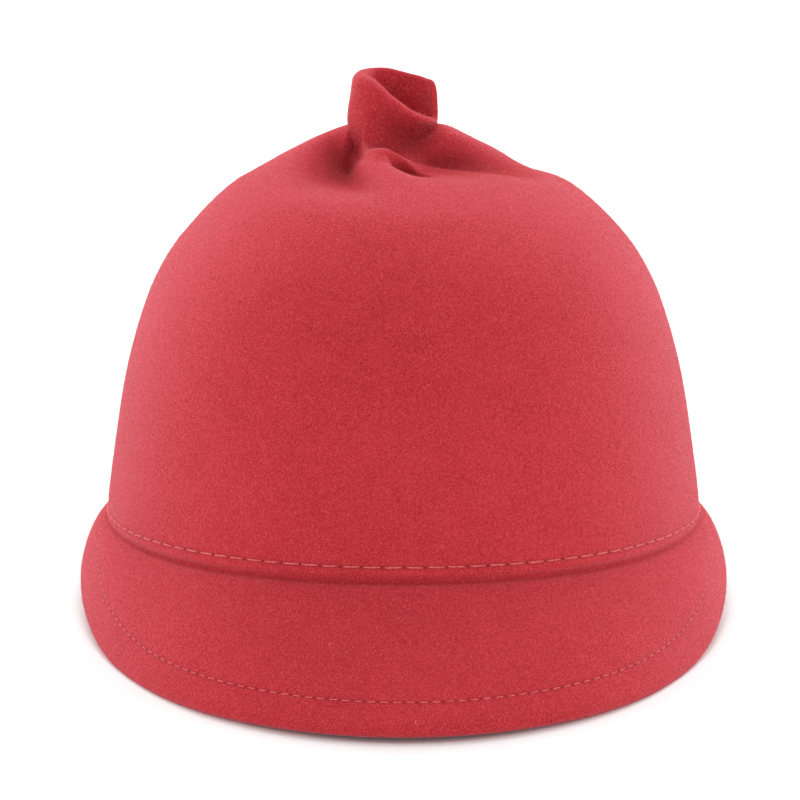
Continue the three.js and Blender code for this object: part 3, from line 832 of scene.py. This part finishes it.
def stitch_tree(name):
    inputs = {"Count": 1, "Length": 1.0, "Thread": 1.0, "Rise": 1.0, "Dip": 1.0}
    tree, given = new_tree(name, inputs)
    cord = add(tree, "GeometryNodeCurvePrimitiveLine", {"Start": (-0.5, 0, 0), "End": (0.5, 0, 0)})
    cord = add(tree, "GeometryNodeResampleCurve", {"Curve": cord.outputs[0], "Count": CORD_POINTS})
    share = add(tree, "GeometryNodeSplineParameter").outputs["Factor"]
    arch = maths(tree, "SINE", maths(tree, "MULTIPLY", share, math.pi))
    arch = maths(tree, "POWER", arch, ARCH_POWER)
    reach = maths(tree, "ADD", given["Rise"], given["Dip"])
    up = maths(tree, "SUBTRACT", maths(tree, "MULTIPLY", arch, reach), given["Dip"])
    along = maths(tree, "MULTIPLY", maths(tree, "SUBTRACT", share, 0.5), given["Length"])
    place = add(tree, "ShaderNodeCombineXYZ", {"X": along, "Z": up})
    cord = add(tree, "GeometryNodeSetPosition", {"Geometry": cord.outputs[0], "Position": place.outputs[0]})
    twist = maths(tree, "MULTIPLY", share, 2 * math.pi * THREAD_TURNS)
    cord = add(tree, "GeometryNodeSetCurveTilt", {"Curve": cord.outputs[0], "Tilt": twist})
    profile = {"Resolution": CORD_SIDES, "Radius": given["Thread"]}
    ring = add(tree, "GeometryNodeCurvePrimitiveCircle", profile)
    oval = add(tree, "GeometryNodeTransform", {"Geometry": ring.outputs[0], "Scale": CORD_OVAL})
    cord = add(tree, "GeometryNodeCurveToMesh", {"Curve": cord.outputs[0], "Profile Curve": oval.outputs[0],
                                                 "Fill Caps": True})
    row = add(tree, "GeometryNodeMeshToCurve", {"Mesh": given["Geometry"]})
    row = add(tree, "GeometryNodeResampleCurve", {"Curve": row.outputs[0], "Count": given["Count"]})
    out = add(tree, "GeometryNodeInputNamedAttribute", {"Name": "felt_out"}, data_type="FLOAT_VECTOR")
    tangent = add(tree, "GeometryNodeInputTangent").outputs[0]
    turn = add(tree, "FunctionNodeAxesToRotation", {0: tangent, 1: out.outputs[0]}, primary_axis="X",
               secondary_axis="Z")
    askew = add(tree, "FunctionNodeEulerToRotation", {0: chances(tree, *ASKEW, ASKEW_SEED)})
    turn = turned_by(tree, turn.outputs[0], askew.outputs[0])
    size = chances(tree, *STITCH_SIZES, STITCH_SIZE_SEED)
    laid = add(tree, "GeometryNodeInstanceOnPoints", {"Points": row.outputs[0], "Instance": cord.outputs[0],
                                                      "Rotation": turn, "Scale": size})
    finish_tree(tree, laid.outputs[0], thread)
    return tree


def row_object(name, row, out, count):
    """A row as a chain of points, from the middle of its first stitch to the middle of its last."""
    share = (np.arange(count) + 0.5) / count
    measured = lengths(row) / lengths(row)[-1]
    middles = np.stack([np.interp(share, measured, row[:, i]) for i in range(3)], -1)
    facing = np.stack([np.interp(share, measured, out[:, i]) for i in range(3)], -1)
    mesh = bpy.data.meshes.new(name)
    mesh.from_pydata([tuple(p) for p in at_rest(middles)], [(i, i + 1) for i in range(count - 1)], [])
    mesh.attributes.new("felt_out", "FLOAT_VECTOR", "POINT").data.foreach_set("vector", facing.ravel())
    made = bpy.data.objects.new(name, mesh)
    bpy.context.scene.collection.objects.link(made)
    return made


stitches = stitch_tree("stitches")
for name, row, out, count, length, thick, rise in (
    ("upper_stitches", upper_row, upper_out, upper_count, 4.9, 0.64, 0.2),
    ("hem_stitches", hem_row, hem_out, hem_count, 2.4, 0.38, 0.04),
):
    carrier = row_object(name + "_row", row, out, count)
    sizes = {"Count": count, "Length": length * MM, "Thread": thick * MM, "Rise": rise * MM,
             "Dip": NEEDLE_DIP * MM}
    grow(name, stitches, sizes, carrier)
    bpy.data.objects.remove(carrier)

# %% [markdown]
# A short nap stands on the felt: wool hairs a millimetre or two long, most of them pressed flat and a few
# lifted. They soften the outline and break the light. A hair system could grow them, but plain meshes of a
# few faces each can be handed on to any other program.

# %% The nap
NAP_DARK = (0.46, 0.032, 0.045, 1)
NAP_PALE = (0.86, 0.19, 0.21, 1)
NAP_SHADES_PER_M = 900
NAP_LONGEST = 1.7  # millimetres
NAP_SHORTEST = 0.35  # as a share of the longest
NAP_THICKNESS = 0.02
NAP_LIFT = 0.9  # the steepest a hair stands, in radians
LIFT_POWER = 3.0  # above one, most hairs lie flat
LIE_SEED = 11
LIFT_SEED = 13
LENGTH_SEED = 17

nap, nap_tree, nap_shader = material("wool_nap")
strand = add(nap_tree, "ShaderNodeTexCoord").outputs["Object"]
dyed = noise(nap_tree, strand, NAP_SHADES_PER_M, 1.0, 0.5)
dyed = ramp(nap_tree, dyed, 0.35, 0.68)
nap_colour = blend(nap_tree, dyed, NAP_DARK, NAP_PALE)
link_all(nap_tree, nap_shader, {"Base Color": nap_colour, "Roughness": 0.9, "Specular IOR Level": 0.05})


def spindle_mesh():
    """One hair, a metre long before it is scaled: pointed at both ends and bowed."""
    ring = [(0.5, math.cos(a), math.sin(a) + 6) for a in (0, 2 * math.pi / 3, 4 * math.pi / 3)]
    mesh = bpy.data.meshes.new("hair")
    sides = [(0, 3, 2), (0, 4, 3), (0, 2, 4), (1, 2, 3), (1, 3, 4), (1, 4, 2)]
    mesh.from_pydata([(0, 0, 0), (1, 0, 0)] + ring, [], sides)
    return mesh


def nap_node_tree(hair):
    inputs = {"Zone": 1, "Hairs": 1.0, "Longest": 1.0, "Thickness": 1.0, "Lift": 1.0, "Seed": 1}
    tree, given = new_tree("nap", inputs)
    spread = scatter(tree, given, given["Hairs"])
    lie = chance(tree, 0.0, 2 * math.pi, LIE_SEED)
    lift = maths(tree, "POWER", chance(tree, 0.0, 1.0, LIFT_SEED), LIFT_POWER)
    lift = maths(tree, "MULTIPLY", lift, given["Lift"])
    pitch = add(tree, "ShaderNodeCombineXYZ", {"Y": maths(tree, "MULTIPLY", lift, -1.0)})
    pitch = add(tree, "FunctionNodeEulerToRotation", {0: pitch.outputs[0]})
    lie = add(tree, "ShaderNodeCombineXYZ", {"Z": lie})
    lie = add(tree, "FunctionNodeEulerToRotation", {0: lie.outputs[0]})
    turn = turned_by(tree, spread["Rotation"], lie.outputs[0])
    turn = turned_by(tree, turn, pitch.outputs[0])
    long = maths(tree, "MULTIPLY", chance(tree, NAP_SHORTEST, 1.0, LENGTH_SEED), given["Longest"])
    size = add(tree, "ShaderNodeCombineXYZ", {"X": long, "Y": given["Thickness"], "Z": given["Thickness"]})
    source = add(tree, "GeometryNodeObjectInfo", {"Object": hair})
    placed = {"Points": spread[0], "Instance": source.outputs["Geometry"], "Rotation": turn}
    laid = add(tree, "GeometryNodeInstanceOnPoints", {**placed, "Scale": size.outputs[0]})
    finish_tree(tree, laid.outputs[0], nap)
    return tree


hair = bpy.data.objects.new("hair", spindle_mesh())
nap_nodes = nap_node_tree(hair)
for seed, (name, zone, hairs_per_mm2) in enumerate((
    ("nap_peak", PEAK, 0.9), ("nap_side", SIDE, 0.5), ("nap_top", TOP, 0.75), ("nap_twist", TWIST, 2.4),
)):
    sizes = {"Zone": zone, "Hairs": hairs_per_mm2 / MM**2, "Longest": NAP_LONGEST * MM,
             "Thickness": NAP_THICKNESS * MM, "Lift": NAP_LIFT, "Seed": seed + 1}
    grow(name, nap_nodes, sizes, felt_hat)
bpy.data.objects.remove(hair)

# %% [markdown]
# A few longer fibres have worked loose. They lie curled on the felt in ones and twos, paler than the rest.

# %% The loose fibres
FIBRE_DYED = (0.76, 0.20, 0.21, 1)
FIBRE_FADED = (0.88, 0.40, 0.38, 1)
FIBRE_SHADES_PER_M = 500
FIBRE_LONG = 3.6  # millimetres across its curl
FIBRE_THICKNESS = 0.035
FIBRE_TILT = 0.3  # the most a fibre leans out of the felt, in radians
FIBRE_LIE_SEED = 23
FIBRE_STRETCH = ((0.5, 0.2, 0.3), (1.2, 0.8, 0.6))  # shares of its length, along each axis
FIBRE_SIZE_SEED = 29
FIRST_FIBRE_SEED = 31

loose, loose_tree, loose_shader = material("loose_fibre")
end_to_end = add(loose_tree, "ShaderNodeTexCoord").outputs["Object"]
faded = ramp(loose_tree, noise(loose_tree, end_to_end, FIBRE_SHADES_PER_M, 1.0), 0.4, 0.6)
faded = blend(loose_tree, faded, FIBRE_DYED, FIBRE_FADED)
link_all(loose_tree, loose_shader, {"Base Color": faded, "Roughness": 0.7, "Specular IOR Level": 0.2})


def loose_fibre_tree():
    """Curled fibres scattered over one part of the hat."""
    inputs = {"Zone": 1, "Fibres": 1.0, "Long": 1.0, "Thickness": 1.0, "Seed": 1}
    tree, given = new_tree("loose_fibres", inputs)
    spread = scatter(tree, given, given["Fibres"])
    curl = add(tree, "GeometryNodeCurveSpiral", {"Resolution": 14, "Rotations": 0.7, "Start Radius": 0.5,
                                                 "End Radius": 0.16, "Height": 0.12})
    thin = maths(tree, "DIVIDE", given["Thickness"], given["Long"])
    ring = add(tree, "GeometryNodeCurvePrimitiveCircle", {"Resolution": 4, "Radius": thin})
    strand = add(tree, "GeometryNodeCurveToMesh", {"Curve": curl.outputs[0], "Profile Curve": ring.outputs[0],
                                                   "Fill Caps": True})
    lie = chances(tree, (0, 0, 0), (FIBRE_TILT, FIBRE_TILT, 2 * math.pi), FIBRE_LIE_SEED)
    lie = add(tree, "FunctionNodeEulerToRotation", {0: lie})
    turn = turned_by(tree, spread["Rotation"], lie.outputs[0])
    stretch = chances(tree, *FIBRE_STRETCH, FIBRE_SIZE_SEED)
    size = add(tree, "ShaderNodeVectorMath", {0: stretch, "Scale": given["Long"]}, operation="SCALE")
    laid = add(tree, "GeometryNodeInstanceOnPoints", {"Points": spread[0], "Instance": strand.outputs[0],
                                                      "Rotation": turn, "Scale": size.outputs[0]})
    finish_tree(tree, laid.outputs[0], loose)
    return tree


loose_nodes = loose_fibre_tree()
for seed, (name, zone, fibres_per_mm2) in enumerate((
    ("loose_fibres_peak", PEAK, 0.0014), ("loose_fibres_side", SIDE, 0.0004),
)):
    sizes = {"Zone": zone, "Fibres": fibres_per_mm2 / MM**2, "Long": FIBRE_LONG * MM,
             "Thickness": FIBRE_THICKNESS * MM, "Seed": seed + FIRST_FIBRE_SEED}
    grow(name, loose_nodes, sizes, felt_hat)

# %% [markdown]
# The photograph is taken from in front and a little above, from far enough away that the hat shows almost no
# perspective. A long lens at a metre and a half does the same.

# %% Camera at the photograph's angle
PICTURE = 800
VIEW_RISE = 9.5  # degrees above the plane of the upper stitches
DISTANCE = 1500.0
SCALE = 3.45  # picture points to a millimetre at the middle of the hat
AIM = (-1.05, 0.0, 28.9)  # what the middle of the picture shows, in the frame of the block

aim = Vector(at_rest(AIM))
rise = math.radians(VIEW_RISE) + REST_ANGLE
camera = bpy.data.objects.new("camera", bpy.data.cameras.new("camera"))
bpy.context.scene.collection.objects.link(camera)
camera.location = aim + Vector((0, -math.cos(rise), math.sin(rise))) * DISTANCE * MM
camera.rotation_euler = (aim - camera.location).to_track_quat("-Z", "Y").to_euler()
camera.data.lens = camera.data.sensor_width * SCALE * DISTANCE / PICTURE
bpy.context.scene.camera = camera
print("lens:", round(camera.data.lens), "mm, looking down by", round(math.degrees(rise), 1), "degrees")

# %% [markdown]
# The photograph was taken in a white box: the background is white, and broad lamps stand above and at both
# sides, so the middle of the crown is darkest and its edges glow. Seven soft lamps and a pale sky repeat it.

# %% Floor and light
FLOOR = 4.0  # metres from its middle to each side
floor_corners = [(-FLOOR, -FLOOR, 0), (FLOOR, -FLOOR, 0), (FLOOR, FLOOR, 0), (-FLOOR, FLOOR, 0)]
floor = mesh_object("floor", floor_corners, [(0, 1, 2, 3)])
white, _, white_shader = material("white_table")
white_shader.inputs["Base Color"].default_value = (0.9, 0.9, 0.9, 1)
white_shader.inputs["Roughness"].default_value = 0.9
floor.data.materials.append(white)


def softbox(name, place, size, watts):
    lamp = bpy.data.lights.new(name, "AREA")
    lamp.shape = "RECTANGLE"
    lamp.size, lamp.size_y = size
    lamp.energy = watts
    made = bpy.data.objects.new(name, lamp)
    bpy.context.scene.collection.objects.link(made)
    made.location = place
    made.rotation_euler = (aim - made.location).to_track_quat("-Z", "Y").to_euler()


LAMPS = {  # where each stands, in metres, its two sides, and its watts
    "lamp_above": ((0.0, 0.1, 1.3), (1.2, 1.2), 5.8),
    "lamp_above_behind": ((0.0, 1.0, 1.2), (1.2, 0.8), 15.0),
    "lamp_left": ((-1.3, -0.1, 0.5), (0.8, 1.0), 7.4),
    "lamp_right": ((1.3, -0.1, 0.5), (0.8, 1.0), 7.4),
    "lamp_left_behind": ((-0.9, 0.9, 0.4), (0.8, 1.0), 9.6),
    "lamp_right_behind": ((0.9, 0.9, 0.4), (0.8, 1.0), 9.6),
    "lamp_front_low": ((0.0, -1.5, 0.25), (1.0, 0.6), 7.2),
}
WORLD_LIGHT = 0.34
for name, (place, size, watts) in LAMPS.items():
    softbox(name, place, size, watts)
world = bpy.data.worlds.new("studio")
bpy.context.scene.world = world
world.use_nodes = True
world.node_tree.nodes["Background"].inputs["Color"].default_value = (1, 1, 1, 1)
world.node_tree.nodes["Background"].inputs["Strength"].default_value = WORLD_LIGHT
bpy.context.scene.view_settings.view_transform = "Standard"
total_watts = sum(watts for _, _, watts in LAMPS.values())
print(len(LAMPS), "lamps of", round(total_watts), "watts in all")
